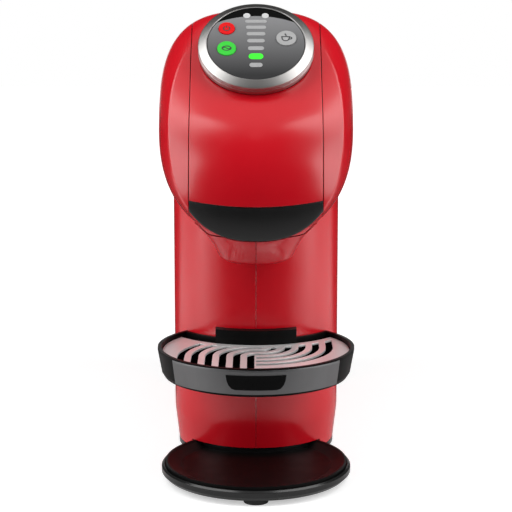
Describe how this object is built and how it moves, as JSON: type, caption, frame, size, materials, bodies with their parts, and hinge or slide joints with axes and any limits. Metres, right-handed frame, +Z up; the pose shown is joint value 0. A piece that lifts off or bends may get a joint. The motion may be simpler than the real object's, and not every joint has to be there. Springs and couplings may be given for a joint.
{
  "type": "pod coffee machine",
  "caption": "Slim red pod coffee machine with a dial on its lift-up locking flap, sliding pod holder, adjustable drip tray and rear water tank.",
  "frame": {"origin": "middle of the footprint's box, on the worktop", "axes": "+Z up, front towards -Y, width along X"},
  "size_m": [0.1144, 0.3127, 0.2747],
  "materials": {
    "red_gloss": "gloss",
    "black_gloss": "gloss",
    "black_matte": "satin",
    "grey_frame": "satin",
    "dial_metal": "satin",
    "band_metal": "satin",
    "grid_steel": "polished",
    "steel": "satin",
    "brass": "satin",
    "heater_alloy": "cast",
    "rubber": "matt",
    "silicone_hose": "satin",
    "pump_plastic": "satin",
    "coil_frame": "satin",
    "board_green": "satin",
    "board_parts": "satin",
    "display_dark": "gloss",
    "bar_light": "satin",
    "key_red": "gloss",
    "key_green": "gloss",
    "key_grey": "gloss",
    "tank_clear": "clear smoke"
  },
  "bodies": {
    "root": {"base_frame": "black_gloss", "base_dish": "black_gloss", "rubber_feet": "rubber", "shell_left": "red_gloss", "shell_right": "red_gloss", "back_cover": "black_matte", "tank_seat": "black_matte", "cable_gland": "rubber", "chassis": "grey_frame", "head_frame": "grey_frame", "spout_cover": "red_gloss", "pump_body": "pump_plastic", "pump_coil": "coil_frame", "pump_mounts": "rubber", "flow_meter": "pump_plastic", "heater_block": "heater_alloy", "heater_ports": "brass", "thermostat": "pump_plastic", "suction_hose": "silicone_hose", "pump_hose": "silicone_hose", "brew_hose": "silicone_hose", "control_board": "board_green", "board_parts": "board_parts", "steel_strip": "steel", "guide_rods": "steel", "water_nozzle": "brass", "hinge_pin": "steel", "flap_spring": "steel", "body_screws": "steel", "frame_screws": "steel"},
    "flap": {"flap_cover": "red_gloss", "flap_frame": "black_matte", "dial_carrier": "black_matte", "display_panel": "display_dark", "display_board": "board_green", "level_bars": "bar_light", "status_lamps": "bar_light"},
    "dial": {"dial_ring": "dial_metal"},
    "power_key": {"button_power": "key_red"},
    "boost_key": {"button_boost": "key_green"},
    "cup_key": {"button_cup": "key_grey"},
    "injector": {"injector_carriage": "grey_frame", "injector_needle": "steel", "injector_seal": "rubber"},
    "holder": {"pod_holder": "black_matte", "pod_front": "black_gloss", "pod_lip": "red_gloss"},
    "tray": {"drip_tray": "black_gloss", "tray_band": "band_metal", "badge_plate": "black_gloss", "tray_magnets": "steel"},
    "grid": {"drip_grid": "grid_steel"},
    "tank": {"water_tank": "tank_clear", "tank_valve": "black_matte", "tank_seal": "rubber", "lid_pin": "steel"},
    "lid": {"tank_lid": "black_matte"}
  },
  "joints": [
    {"name": "flap_lift", "type": "hinge", "parent": "root", "child": "flap", "pos_m": [0, -0.014, 0.24377], "axis": [-1, 0, 0], "range_deg": [0, 50]},
    {"name": "dial_turn", "type": "hinge", "parent": "flap", "child": "dial", "pos_m": [0, -0.08961, 0.24793], "axis": [0, -0.6896, 0.7242], "continuous": true},
    {"name": "power_press", "type": "slide", "parent": "flap", "child": "power_key", "axis": [0, 0.6896, -0.7242], "range_m": [0, 0.0007], "stiffness_N_per_m": 400, "springref_m": -0.001},
    {"name": "boost_press", "type": "slide", "parent": "flap", "child": "boost_key", "axis": [0, 0.6896, -0.7242], "range_m": [0, 0.0007], "stiffness_N_per_m": 400, "springref_m": -0.001},
    {"name": "cup_press", "type": "slide", "parent": "flap", "child": "cup_key", "axis": [0, 0.6896, -0.7242], "range_m": [0, 0.0007], "stiffness_N_per_m": 400, "springref_m": -0.001},
    {"name": "injector_slide", "type": "slide", "parent": "root", "child": "injector", "axis": [0, 0, 1], "range_m": [0, 0.0103]},
    {"name": "holder_slide", "type": "slide", "parent": "root", "child": "holder", "axis": [0, -1, 0], "range_m": [0, 0.095]},
    {"name": "tray_height", "type": "slide", "parent": "root", "child": "tray", "axis": [0, 0, 1], "range_m": [-0.05, 0.02]},
    {"name": "grid_lift", "type": "slide", "parent": "tray", "child": "grid", "axis": [0, 0, 1], "range_m": [0, 0.03]},
    {"name": "tank_lift", "type": "slide", "parent": "root", "child": "tank", "axis": [0, 0, 1], "range_m": [0, 0.06]},
    {"name": "lid_open", "type": "hinge", "parent": "tank", "child": "lid", "pos_m": [0, 0.1528, 0.2391], "axis": [-1, 0, 0], "range_deg": [0, 100]}
  ],
  "couplings": [
    {"joint": "injector_slide", "follows": "flap_lift", "m_per_rad": 0.011623}
  ]
}
